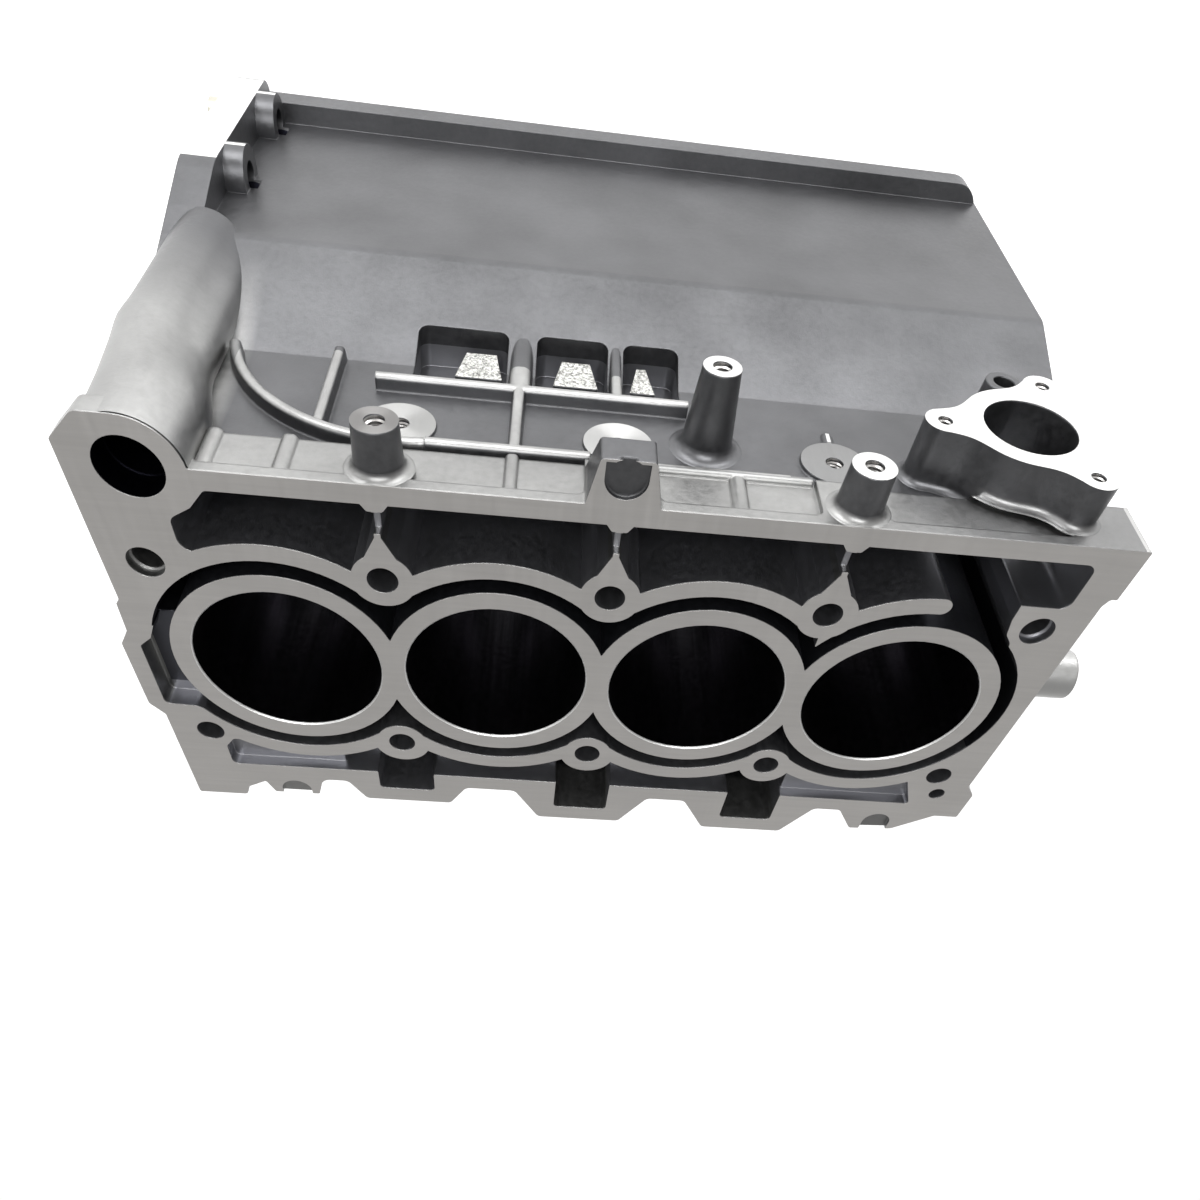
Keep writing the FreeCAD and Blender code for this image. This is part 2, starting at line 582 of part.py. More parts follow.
def rail_and_end_holes():
    parts = []
    for x in [pump_end + 9.0] + [b for b in bores_x] + [gearbox_end - 10.0]:
        for y in (-rail_half + 6.5, rail_half - 6.5):
            parts.append(post(x, y, 3.4, rail + 11.0, rail - 1.0))
    for y, z in gearbox_bolts():
        parts.append(Part.makeCylinder(gearbox_bolt_diameter / 2, 30.0, V(gearbox_face - 25.0, y, z), ALONG))
    for y, z in dowel_places():
        parts.append(Part.makeCylinder(gearbox_dowel_diameter / 2 + clearance, gearbox_dowel_depth + 1.0,
                                       V(gearbox_face - gearbox_dowel_depth, y, z), ALONG))
    parts.append(Part.makeCylinder(gallery_bore / 2, gearbox_face - pump_end + 2.0,
                                   V(pump_end - 1.0, gallery_y, gallery_z), ALONG))
    for x in (pump_end - 1.0, gearbox_face - gallery_plug_length):
        parts.append(Part.makeCylinder(gallery_plug_diameter / 2 + clearance, gallery_plug_length + 1.0,
                                       V(x, gallery_y, gallery_z), ALONG))
    parts.append(Part.makeCylinder(6.0, 18.0, V(pump_end - 21.0, -8.0, deck - 18.0), ALONG))
    return parts


def dowel_places():
    """The two flange bolts, one on each side, that also carry a dowel sleeve."""
    bolts = gearbox_bolts()
    return [bolts[0], bolts[-1]]


def block_casting():
    body = fused([deck_flange(), barrels(), crankcase(), corner_column(), gearbox_flange(), oil_gallery(),
                  end_boss()])
    body = body.cut(fused(side_panels()))
    body = body.fuse(fused([pump_flange()] + side_bosses() + side_ribs() + gate_pads()))
    cutters = [water_jacket(), end_pocket()] + side_pockets() + rear_groove() + tab_pockets()
    cutters += datum_recesses() + deck_holes() + side_holes() + crank_space() + rail_and_end_holes()
    for cutter in cutters:
        body = body.cut(cutter)
    return body.removeSplitter()


# ---------------------------------------------------------------- main bearing caps and bolts
def main_cap(x):
    half = bulkhead / 2 - 0.5
    seat = -cap_bolt_seat()
    profile = [(-register_half, 0.0), (-register_half, -16.0, 3.0), (-cap_bolt_y - cap_seat_half, seat, 3.0),
               (-cap_bolt_y + cap_seat_half, seat, 4.0), (-16.0, -cap_height, 6.0),
               (16.0, -cap_height, 6.0), (cap_bolt_y - cap_seat_half, seat, 4.0),
               (cap_bolt_y + cap_seat_half, seat, 3.0), (register_half, -16.0, 3.0), (register_half, 0.0)]
    cap = section(profile, x - half, x + half)
    cuts = [Part.makeCylinder(main_bore_diameter / 2, bulkhead, V(x - bulkhead / 2, 0, 0), ALONG)]
    for y in (-cap_bolt_y, cap_bolt_y):
        cuts.append(post(x, y, cap_bolt_diameter / 2 + 4 * clearance, 1.0, -cap_height - 1.0))
    return cap.cut(fused(cuts))


def cap_bolt(x, y):
    """Flanged hexagon bolt, head down, its shank up in the bulkhead."""
    seat = -cap_bolt_seat()
    flange = post(x, y, cap_bolt_diameter * 1.05, seat, seat - 2.0)
    across = cap_bolt_diameter * 0.8
    hexagon = [(x + across / math.cos(math.pi / 6) * math.cos(math.radians(60 * k)),
                y + across / math.cos(math.pi / 6) * math.sin(math.radians(60 * k))) for k in range(6)]
    head = plan(hexagon, seat - 2.0, seat - 10.0)
    shank = post(x, y, cap_bolt_diameter / 2, seat + cap_bolt_length, seat)
    return fused([flange, head, shank]).removeSplitter()


# ---------------------------------------------------------------- plugs and dowels
def gallery_plug(face_x, inward):
    """Screw plug with a hexagon socket, flush with its end face; inward is +1 or -1 along X."""
    plug = Part.makeCylinder(gallery_plug_diameter / 2, gallery_plug_length, V(face_x, gallery_y, gallery_z),
                             V(inward, 0, 0))
    across = 7.0
    corner = across / math.sqrt(3)
    angles = [math.radians(60 * k) for k in range(6)]
    hexagon = [(corner * math.cos(a), corner * math.sin(a)) for a in angles]
    socket = outline(hexagon, V(face_x, gallery_y, gallery_z), V(0, 1, 0), UP)
    return plug.cut(socket.extrude(V(inward * gallery_plug_length * 0.55, 0, 0)))


def gearbox_dowel(y, z):
    """Hollow dowel sleeve round a flange bolt, half in the flange and half out."""
    start = V(gearbox_face - gearbox_dowel_depth, y, z)
    sleeve = Part.makeCylinder(gearbox_dowel_diameter / 2, 2 * gearbox_dowel_depth, start, ALONG)
    return sleeve.cut(Part.makeCylinder(gearbox_bolt_diameter / 2, 2 * gearbox_dowel_depth, start, ALONG))


def main():
    os.makedirs("parts", exist_ok=True)
    nodes = {"block_casting": block_casting()}
    for k, x in enumerate(bolts_x, 1):
        nodes[f"main_cap_{k}"] = main_cap(x)
        for side, y in (("left", -cap_bolt_y), ("right", cap_bolt_y)):
            nodes[f"cap_bolt_{k}_{side}"] = cap_bolt(x, y)
    nodes["gallery_plug_pump_end"] = gallery_plug(pump_end, 1)
    nodes["gallery_plug_gearbox_end"] = gallery_plug(gearbox_face, -1)
    for side, (y, z) in zip(("front", "rear"), dowel_places()):
        nodes[f"gearbox_dowel_{side}"] = gearbox_dowel(y, z)
    for name, shape in nodes.items():
        shape.exportStep(f"parts/{name}.step")
        print(name, len(shape.Solids), shape.isValid(), round(shape.Volume))


main()
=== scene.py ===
"""Looks of the open-deck engine block: cut and cast aluminium, threads, caps, bolts and plugs."""
import json
import math
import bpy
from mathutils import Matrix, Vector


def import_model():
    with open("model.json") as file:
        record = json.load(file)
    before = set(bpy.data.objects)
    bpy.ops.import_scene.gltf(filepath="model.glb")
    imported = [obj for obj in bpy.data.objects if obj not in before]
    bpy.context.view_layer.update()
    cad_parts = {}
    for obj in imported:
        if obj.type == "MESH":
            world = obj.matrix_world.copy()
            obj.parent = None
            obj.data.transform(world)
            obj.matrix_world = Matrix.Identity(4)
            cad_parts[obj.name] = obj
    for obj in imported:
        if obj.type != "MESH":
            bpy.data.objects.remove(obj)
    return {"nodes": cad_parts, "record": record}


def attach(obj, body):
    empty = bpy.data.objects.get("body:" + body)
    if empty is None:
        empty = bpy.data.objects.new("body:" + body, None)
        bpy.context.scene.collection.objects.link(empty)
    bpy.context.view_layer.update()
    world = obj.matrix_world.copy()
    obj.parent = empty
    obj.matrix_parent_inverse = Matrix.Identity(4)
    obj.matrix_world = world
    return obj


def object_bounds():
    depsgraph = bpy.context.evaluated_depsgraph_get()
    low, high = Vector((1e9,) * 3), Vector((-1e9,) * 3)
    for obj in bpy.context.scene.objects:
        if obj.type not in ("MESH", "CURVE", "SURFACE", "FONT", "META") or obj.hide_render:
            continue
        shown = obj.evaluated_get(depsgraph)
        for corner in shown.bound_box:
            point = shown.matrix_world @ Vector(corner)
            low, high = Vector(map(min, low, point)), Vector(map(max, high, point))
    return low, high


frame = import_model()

from types import SimpleNamespace

import bmesh
import bpy
from mathutils import Vector

cad_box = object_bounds()

# ---------------------------------------------------------------- places, in metres
MM = 0.001
low, high = cad_box
deck_z = high.z
rail_z = low.z
mounts = {mount["name"]: mount for mount in frame["record"]["mounts"]}
bore_radius = mounts["cylinder_bore_1"]["dims"]["r_mm"] * MM
bores_x = [mounts[f"cylinder_bore_{k}"]["pos_m"][0] for k in range(1, 5)]
bore_spacing = bores_x[1] - bores_x[0]
passage_x, passage_y = mounts["corner_passage"]["pos_m"][:2]
passage_radius = mounts["corner_passage"]["dims"]["r_mm"] * MM
gearbox_face_x = mounts["gearbox_face"]["pos_m"][0]
stub = mounts["coolant_stub"]
pump_end_x = stub["pos_m"][0] + stub["dims"]["length_mm"] * MM / 2

# planes of the ribbed side, outermost first
long_boss_y = -110.0 * MM
machined_y = -101.5 * MM           # side bosses and pump seat
panel_y = -86.0 * MM               # just outside the deck flange's face
front_edge_y = -85.0 * MM          # face of the deck flange
gate_y = -81.5 * MM                # trimmed casting gates in the windows
pad_y = -81.0 * MM                 # round pads
wall_y = -79.5 * MM                # ribbed wall
strip_inner_y = -78.3 * MM         # inner edge of the deck strip
skin_y = -62.0 * MM                # the side's outer skin lies in front of this
band_low_z = deck_z - 25.0 * MM    # lower edge of the deck flange

# hollows that open in the deck
chamfer_drop = 1.0 * MM            # chamfer at the mouth of a cylinder
honed_low_z = 40.0 * MM
hollow_low_z = 60.0 * MM
end_margin = 2.0 * MM              # the hollows stop this far inside the end faces
jacket_radius = 51.5 * MM          # just outside the water slot's wall, from a cylinder's axis
slot_radius = jacket_radius - 4.3 * MM
side_pockets_end_x = 152.0 * MM
passage_wall_radius = 19.5 * MM
groove_y = 67.3 * MM               # groove behind the cylinders
groove_depth = 15.6 * MM
tab_pocket_y = 79.5 * MM
tab_pocket_half = 13.1 * MM
tab_pocket_depth = 63.0 * MM

crest_highlight_low_z = 127.0 * MM           # painted highlight on the rounded crests of the ribs starts here
crest_highlight_x = (-60.0 * MM, 140.0 * MM)
flange_painted_shade_x = (-110.0 * MM, -80.0 * MM)      # towards the pump end the deck flange is painted darker, as painted shade
# region of the painted light on the corner column
column_painted_light_x = (passage_x - 20.0 * MM, passage_x - 14.0 * MM)
column_painted_light_z = (deck_z - 130.0 * MM, deck_z - 60.0 * MM)
column_front_y = -60.0 * MM
cast_edge = 1.2 * MM               # rounding that the shader gives a cast edge and a cut one
cut_edge = 0.2 * MM
plane_tolerance = 0.12 * MM
flat_facing = 0.995                # cosine; keeps out slopes and curves that cross a plane

pad_z = deck_z - 43.0 * MM
pads = {"pad_1": (bores_x[0] + bore_spacing / 2 + 2.0 * MM, pad_y, pad_z),
        "pad_2": (0.5 * MM, pad_y, pad_z),
        "pad_3": (bores_x[2] + bore_spacing / 2 - 3.5 * MM, pad_y, pad_z)}

# threads
pad_hole_radius = 3.4 * MM
pad_thread_length = 3.6 * MM
longest_thread = 12.0 * MM         # deeper turns are out of sight
small_hole_radius = 3.0 * MM       # tapped holes up to this have the small pitch
small_pitch = 1.0 * MM
large_pitch = 1.25 * MM

# ---------------------------------------------------------------- outlines of the skins, in millimetres
boss_feet = {                      # mount, plane behind, radius there, draft, size of the rounding
    "boss_foot_1": ("side_boss_1", front_edge_y, 8.46, 0.046, 3.0),
    "boss_foot_2": ("side_boss_2", front_edge_y, 8.46, 0.046, 3.0),
    "long_boss_foot": ("long_boss", wall_y, 9.63, 0.093, 4.0),
}
skin_sink = 0.3                    # a skin's edge runs this far into the metal

pump_ring_radius = 24.6
pump_neck = 17.0                   # half width of an ear where it leaves the ring
pump_ear = 7.3                     # radius of an ear's end
pump_blend = 5.0                   # reach of the hollows between ring and ears
pump_foot_size = 2.6
pump_rim_width = 3.8
pump_skin_lift = 0.03              # clear of the seat below it
pump_foot_top = 25.5               # above this drop the flange stands on the deck flange

lobe_radius = 18.0                 # round end of the deck over the corner passage
lobe_taper = 6.5
lobe_fade = (25.0, 38.0)           # drop at which the lobe begins to draw in, and over how much it does
column_radius = 13.2
column_lean = (8.0, -5.0)          # how far the column leans over its run
column_start = 6.0
column_run = 60.0
column_blend = 2.5
column_first_drop = 0.6
column_row_step = 3.0
column_rows = 48


# ---------------------------------------------------------------- node helpers
def new_material(name):
    """Material with one Principled shader; returns the material, its tree and the shader."""
    material = bpy.data.materials.new(name)
    material.use_nodes = True
    return material, material.node_tree, material.node_tree.nodes["Principled BSDF"]


def feed(tree, socket, value):
    """Puts a number, a tuple or another node's output into a socket."""
    if isinstance(value, bpy.types.NodeSocket):
        tree.links.new(value, socket)
    else:
        socket.default_value = value


def calc(tree, operation, *values):
    """Result of one Math node."""
    node = tree.nodes.new("ShaderNodeMath")
    node.operation = operation
    for socket, value in zip(node.inputs, values):
        feed(tree, socket, value)
    return node.outputs[0]


def vector_calc(tree, operation, *values):
    """Result of one Vector Math node."""
    node = tree.nodes.new("ShaderNodeVectorMath")
    node.operation = operation
    for socket, value in zip(node.inputs, values):
        feed(tree, socket, value)
    return node.outputs[0]


def noise(tree, place, scale, detail=3.0, roughness=0.55, stretch=(1.0, 1.0, 1.0)):
    """Noise of about scale waves a metre, stretched along the axes."""
    mapping = tree.nodes.new("ShaderNodeMapping")
    mapping.inputs["Scale"].default_value = stretch
    tree.links.new(place, mapping.inputs["Vector"])
    node = tree.nodes.new("ShaderNodeTexNoise")
    node.inputs["Scale"].default_value = scale
    node.inputs["Detail"].default_value = detail
    node.inputs["Roughness"].default_value = roughness
    tree.links.new(mapping.outputs[0], node.inputs["Vector"])
    return node.outputs["Fac"]


def span(tree, value, from_low, from_high, to_low, to_high):
    """Maps the first range onto the second and holds the result inside it."""
    node = tree.nodes.new("ShaderNodeMapRange")
    for socket, number in zip(node.inputs, (value, from_low, from_high, to_low, to_high)):
        feed(tree, socket, number)
    return node.outputs[0]


def spread(tree, wave, least, most):
    """Maps a noise, which mostly lies between 0.3 and 0.7, onto least to most."""
    return span(tree, wave, 0.3, 0.7, least, most)


def blend(tree, factor, first, second):
    """Mix of two colours; each is an RGB tuple or an output."""
    node = tree.nodes.new("ShaderNodeMix")
    node.data_type = "RGBA"
    feed(tree, node.inputs[0], factor)
    for socket, value in ((node.inputs[6], first), (node.inputs[7], second)):
        feed(tree, socket, (*value, 1.0) if isinstance(value, tuple) else value)
    return node.outputs[2]


def tone(tree, colour, factor):
    """Colour times a number."""
    node = tree.nodes.new("ShaderNodeVectorMath")
    node.operation = "SCALE"
    feed(tree, node.inputs[0], colour)
    feed(tree, node.inputs["Scale"], factor)
    return node.outputs[0]


def bump(tree, height, distance, normal=None):
    """Normal bent by a height, on top of another normal where one is given."""
    node = tree.nodes.new("ShaderNodeBump")
    node.inputs["Distance"].default_value = distance
    node.inputs["Strength"].default_value = 1.0
    tree.links.new(height, node.inputs["Height"])
    if normal is not None:
        tree.links.new(normal, node.inputs["Normal"])
    return node.outputs[0]


class Surface:
    """Place and facing of a shaded point, as separate outputs, and masks made from them."""

    def __init__(self, tree):
        self.tree = tree
        coordinates = tree.nodes.new("ShaderNodeTexCoord")
        self.place = coordinates.outputs["Object"]
        split = tree.nodes.new("ShaderNodeSeparateXYZ")
        tree.links.new(self.place, split.inputs[0])
        self.x, self.y, self.z = split.outputs
        facing = tree.nodes.new("ShaderNodeSeparateXYZ")
        tree.links.new(coordinates.outputs["Normal"], facing.inputs[0])
        self.nx, self.ny, self.nz = facing.outputs

    def below(self, value, edge):
        """1 where the value is less than the edge."""
        return calc(self.tree, "LESS_THAN", value, edge)

    def above(self, value, edge):
        """1 where the value is more than the edge."""
        return calc(self.tree, "GREATER_THAN", value, edge)

    def between(self, value, low_edge, high_edge):
        """1 where the value lies between two numbers."""
        return self.all_of([self.above(value, low_edge), self.below(value, high_edge)])

    def on_plane(self, coordinate, value, component, sign):
        """1 on a flat face at coordinate = value that looks along sign times the axis."""
        level = calc(self.tree, "COMPARE", coordinate, value, plane_tolerance)
        looks = self.above(calc(self.tree, "MULTIPLY", component, sign), flat_facing)
        return calc(self.tree, "MULTIPLY", level, looks)

    def distance(self, across, along):
        """Distance from an axis, from the two offsets square to it."""
        return calc(self.tree, "SQRT", calc(self.tree, "ADD", calc(self.tree, "MULTIPLY", across, across),
                                            calc(self.tree, "MULTIPLY", along, along)))

    def any_of(self, masks):
        """Highest of the masks."""
        total = masks[0]
        for mask in masks[1:]:
            total = calc(self.tree, "MAXIMUM", total, mask)
        return total

    def all_of(self, masks):
        """Product of the masks."""
        total = masks[0]
        for mask in masks[1:]:
            total = calc(self.tree, "MULTIPLY", total, mask)
        return total


# ---------------------------------------------------------------- colours, with painted light and shade among them
deck_colour = (0.60, 0.585, 0.57)
end_colour = (0.42, 0.415, 0.41)          # milled end faces
wall_colour = (0.120, 0.121, 0.126)       # as cast
flange_painted_light_colour = (0.27, 0.27, 0.266)         # as cast, on the deck flange; painted light makes it lighter than the wall
# painted light on the corner column
column_painted_light_colour = (0.31, 0.31, 0.306)
crest_painted_highlight_colour = (0.36, 0.36, 0.355)        # painted highlight on the rounded crests of the ribs
hollow_painted_light_colour = (0.300, 0.302, 0.320)     # painted light inside the jacket, pockets and holes, lighter than the outer wall
slot_painted_shade_colour = (0.085, 0.087, 0.100)       # painted shade in the water slot round the cylinders
# painted shade, near black, down the corner passage
passage_painted_shade_colour = (0.012, 0.012, 0.018)
# painted light on the coolant stub
stub_painted_light_colour = (0.46, 0.46, 0.455)
# painted shade in the honed cylinders
bore_painted_shade_colour = (0.125, 0.12, 0.135)
gate_colour = (0.66, 0.66, 0.63)
# painted light on the pump's seat, lighter than the deck
pump_face_painted_light_colour = (0.80, 0.80, 0.79)
# painted highlight on the chamfers at the cylinders' mouths
chamfer_painted_highlight_colour = (0.85, 0.85, 0.84)
turned_faces_painted_light = {                          # colour, with painted light and shade that differ face by face, and radius in millimetres, of the round machined faces
    "side_boss_1": ((0.78, 0.78, 0.77), 9.0),
    "side_boss_2": ((0.20, 0.196, 0.192), 9.0),
    "long_boss": ((0.74, 0.74, 0.73), 8.0),
    "pad_1": ((0.27, 0.27, 0.27), 13.6),
    "pad_2": ((0.46, 0.46, 0.455), 13.6),
    "pad_3": ((0.34, 0.34, 0.335), 13.6),
}


# ---------------------------------------------------------------- the casting's material
def row_places(tree, at):
    """Distances from the nearest cylinder's axis and, along the row, from the nearest bolt plane."""
    row_end = 2 * bore_spacing - 0.01 * MM
    in_row = calc(tree, "MINIMUM", calc(tree, "MAXIMUM", at.x, -row_end), row_end)
    from_pump_end = calc(tree, "ADD", in_row, 2 * bore_spacing)
    in_pitch = calc(tree, "FLOORED_MODULO", from_pump_end, bore_spacing)
    bore_side = calc(tree, "SUBTRACT", in_pitch, bore_spacing / 2)
    bolt_side = calc(tree, "SUBTRACT", bore_spacing / 2, calc(tree, "ABSOLUTE", bore_side))
    return at.distance(bore_side, at.y), bolt_side


def machined_masks(tree, at, mask):
    """Adds the masks of the cut faces and of the trimmed gates."""
    mask.outer_faces = at.any_of([
        at.on_plane(at.y, machined_y, at.ny, -1.0),
        at.on_plane(at.y, pad_y, at.ny, -1.0),
        at.on_plane(at.y, long_boss_y, at.ny, -1.0),
    ])
    mask.level_faces = at.any_of([
        at.on_plane(at.z, deck_z, at.nz, 1.0),
        at.on_plane(at.z, rail_z, at.nz, -1.0),
        at.on_plane(at.x, gearbox_face_x, at.nx, 1.0),
        at.on_plane(at.x, pump_end_x, at.nx, -1.0),
    ])
    mask.machined = at.any_of([mask.outer_faces, mask.level_faces])
    mask.not_cut = calc(tree, "SUBTRACT", 1.0, mask.machined)
    mask.end_faces = at.above(calc(tree, "ABSOLUTE", at.nx), 0.9)
    mask.gate = at.on_plane(at.y, gate_y, at.ny, -1.0)


def hollow_masks(tree, at, mask):
    """Adds the masks of the cylinders, the water jacket, the pockets and the corner passage, where painted
    light and shade are laid.
    """
    from_bore, bolt_side = row_places(tree, at)
    from_passage = at.distance(calc(tree, "SUBTRACT", at.x, passage_x),
                               calc(tree, "SUBTRACT", at.y, passage_y))
    mask.chamfer = at.all_of([
        at.below(from_bore, bore_radius + 1.2 * MM),
        at.between(at.z, deck_z - chamfer_drop, deck_z - 0.05 * MM),
    ])
    mask.honed = at.all_of([
        at.below(from_bore, bore_radius + 0.3 * MM),
        at.between(at.z, honed_low_z, deck_z - chamfer_drop),
    ])
    behind = at.above(at.y, 0.0)
    outer_skin = at.all_of([at.below(at.y, skin_y), at.below(at.ny, -0.2)])
    side_pockets = at.all_of([
        at.between(at.y, strip_inner_y, 0.0),
        at.below(at.x, side_pockets_end_x),
        at.above(from_passage, passage_wall_radius),
        calc(tree, "SUBTRACT", 1.0, outer_skin),
    ])
    tab_pockets = at.all_of([
        behind,
        at.below(at.y, tab_pocket_y),
        at.below(bolt_side, tab_pocket_half),
        at.above(at.z, deck_z - tab_pocket_depth),
    ])
    groove = at.all_of([behind, at.below(at.y, groove_y), at.above(at.z, deck_z - groove_depth)])
    mask.hollow = at.all_of([
        at.any_of([side_pockets, at.below(from_bore, jacket_radius), tab_pockets, groove]),
        at.between(at.z, hollow_low_z, deck_z - 0.4 * MM),
        at.between(at.x, pump_end_x + end_margin, gearbox_face_x - end_margin),
    ])
    mask.slot = at.all_of([at.below(from_bore, slot_radius), mask.hollow])
    mask.passage = at.all_of([
        at.below(from_passage, passage_radius + 0.3 * MM),
        at.below(at.z, deck_z - 0.3 * MM),
    ])


def skin_masks(tree, at, mask):
    """Adds the masks of the painted light and shade on the cast skin: the deck flange painted lighter than
    the wall and darker towards the pump end, painted light on the corner column, a painted highlight on the
    crests of the ribs, and painted light on the stub.
    """
    mask.flange = at.all_of([
        span(tree, at.z, band_low_z - 2 * MM, band_low_z + 1 * MM, 0.0, 1.0),
        span(tree, at.y, panel_y - 2 * MM, panel_y, 0.0, 1.0),
        span(tree, at.x, *flange_painted_shade_x, 0.6, 1.0),
    ])
    mask.column = at.all_of([
        span(tree, at.x, *column_painted_light_x, 0.0, 1.0),
        at.below(at.y, column_front_y),
        span(tree, at.z, *column_painted_light_z, 0.0, 1.0),
    ])
    mask.crest = at.all_of([
        at.between(at.y, front_edge_y - 0.6 * MM, front_edge_y + 1.6 * MM),
        at.between(at.z, crest_highlight_low_z, band_low_z - 0.5 * MM),
        at.between(at.x, *crest_highlight_x),
        # the painted highlight lies on the side of the crest that faces out from the wall
        span(tree, at.ny, -0.35, -0.75, 0.0, 1.0),
    ])
    mask.stub = at.below(at.x, pump_end_x - end_margin)


def casting_waves(tree, at):
    """The noises that colour, gloss and relief share."""
    return SimpleNamespace(
        lines=noise(tree, at.place, 60.0, 4.0, 0.6, (0.35, 9.0, 1.0)),         # left by the cutter
        cross=noise(tree, at.place, 55.0, 3.0, 0.6, (8.0, 0.4, 1.0)),
        cloud=noise(tree, at.place, 28.0, 2.0, 0.5),
        grain=noise(tree, at.place, 1500.0, 2.0, 0.6),
        skin=noise(tree, at.place, 420.0, 4.0, 0.6),
        streak=noise(tree, at.place, 90.0, 4.0, 0.65, (6.0, 6.0, 0.12)),       # down the cylinders
        speckle=noise(tree, at.place, 900.0, 5.0, 0.75),                       # on the gates
    )


def nearest_turned_face(tree, at):
    """Colour, with painted light and shade that differ face by face, and centre of the round cut face under a
    point; the pump's seat where there is no other.
    """
    colour = pump_face_painted_light_colour
    centre = tuple(mounts["pump_bore"]["pos_m"])
    for name, (face_painted_light_and_shade, radius) in turned_faces_painted_light.items():
        middle = pads[name] if name in pads else tuple(mounts[name]["pos_m"])
        away = at.distance(calc(tree, "SUBTRACT", at.x, middle[0]), calc(tree, "SUBTRACT", at.z, middle[2]))
        near = at.below(away, radius * MM)
        colour = blend(tree, near, colour, face_painted_light_and_shade)
        centre = blend(tree, near, centre, middle)
    return colour, centre


def casting_colour(tree, mask, wave, face_painted_light_and_shade):
    """Colour of the casting, from the skin of the walls up to the cut faces, with painted light and shade
    laid on in places.
    """
    cut_tone = calc(tree, "ADD", spread(tree, wave.lines, 0.965, 1.035),
                    spread(tree, wave.cloud, -0.04, 0.04))
    cast_tone = calc(tree, "ADD", spread(tree, wave.skin, 0.93, 1.07),
                     spread(tree, wave.cloud, -0.14, 0.14))
    # painted light on the deck flange, painted darker towards the pump end
    cast = blend(tree, mask.flange, wall_colour, flange_painted_light_colour)
    # painted light on the corner column
    cast = blend(tree, mask.column, cast, column_painted_light_colour)
    # painted highlight on the crests of the ribs
    cast = blend(tree, mask.crest, cast, crest_painted_highlight_colour)
    cast = tone(tree, cast, cast_tone)
    # painted light in the hollows
    cast = blend(tree, mask.hollow, cast, hollow_painted_light_colour)
    # painted shade in the water slot
    cast = blend(tree, mask.slot, cast, slot_painted_shade_colour)
    # painted shade down the corner passage
    cast = blend(tree, mask.passage, cast, passage_painted_shade_colour)
    # painted light on the coolant stub
    cast = blend(tree, mask.stub, cast, stub_painted_light_colour)
    milled = blend(tree, mask.end_faces, deck_colour, end_colour)
    # painted shade down the cylinders, streaked along them
    bore = tone(tree, bore_painted_shade_colour, span(tree, wave.streak, 0.3, 0.75, 0.7, 1.5))
    gate = tone(tree, gate_colour, span(tree, wave.speckle, 0.38, 0.62, 0.18, 1.4))
    colour = blend(tree, mask.level_faces, cast, tone(tree, milled, cut_tone))
    # painted light and shade on the round machined faces
    colour = blend(tree, mask.outer_faces, colour, tone(tree, face_painted_light_and_shade, cut_tone))
    colour = blend(tree, mask.honed, colour, bore)
    # painted highlight on the chamfers
    colour = blend(tree, mask.chamfer, colour, chamfer_painted_highlight_colour)
    return blend(tree, mask.gate, colour, gate)


def casting_roughness(tree, mask, wave):
    """Cut faces a little glossier than the cast skin, and the honed cylinders glossier still."""
    cast = calc(tree, "MULTIPLY", spread(tree, wave.skin, 0.36, 0.46), mask.not_cut)
    cut = calc(tree, "MULTIPLY", spread(tree, wave.cross, 0.34, 0.44), mask.machined)
    return calc(tree, "SUBTRACT", calc(tree, "ADD", cast, cut), calc(tree, "MULTIPLY", mask.honed, 0.20))


def casting_relief(tree, at, mask, wave):
    """Normal with softened edges, cast grain, cutter lines and rough gates."""
    edge = tree.nodes.new("ShaderNodeBevel")
    edge.samples = 6
    softened = at.all_of([
        span(tree, at.z, 100 * MM, 130 * MM, 0.4, 1.0),
        span(tree, mask.machined, 0.0, 1.0, cast_edge, cut_edge),
    ])
    tree.links.new(softened, edge.inputs["Radius"])
    cast = calc(tree, "ADD", wave.grain, calc(tree, "MULTIPLY", wave.skin, 2.0))
    cast = calc(tree, "MULTIPLY", cast, calc(tree, "SUBTRACT", 1.0, calc(tree, "MULTIPLY", mask.hollow, 0.8)))
    cut = calc(tree, "ADD", wave.lines, calc(tree, "MULTIPLY", wave.cross, 0.6))
    gate = calc(tree, "MULTIPLY", calc(tree, "MULTIPLY", wave.speckle, mask.gate), 18.0)
    height = calc(tree, "ADD", calc(tree, "MULTIPLY", cast, mask.not_cut),
                  calc(tree, "MULTIPLY", cut, calc(tree, "MULTIPLY", mask.machined, 0.5)))
    return bump(tree, calc(tree, "ADD", height, gate), 0.03 * MM, edge.outputs[0])


def casting_material():
    """Aluminium casting: cut faces light and finely lined, the rest grey and softly rounded."""
    material, tree, shader = new_material("cast_and_machined_aluminium")
    at = Surface(tree)
    mask = SimpleNamespace()
    machined_masks(tree, at, mask)
    hollow_masks(tree, at, mask)
    skin_masks(tree, at, mask)
    wave = casting_waves(tree, at)
    face_painted_light_and_shade, centre = nearest_turned_face(tree, at)
    shader.inputs["Metallic"].default_value = 1.0
    feed(tree, shader.inputs["Base Color"], casting_colour(tree, mask, wave, face_painted_light_and_shade))
    feed(tree, shader.inputs["Roughness"], casting_roughness(tree, mask, wave))
    feed(tree, shader.inputs["Normal"], casting_relief(tree, at, mask, wave))
    # turned faces reflect in streaks across their rings
    ray = vector_calc(tree, "NORMALIZE", vector_calc(tree, "SUBTRACT", at.place, centre))
    feed(tree, shader.inputs["Tangent"], ray)
    feed(tree, shader.inputs["Anisotropic"], calc(tree, "MULTIPLY", mask.outer_faces, 0.85))
    return material


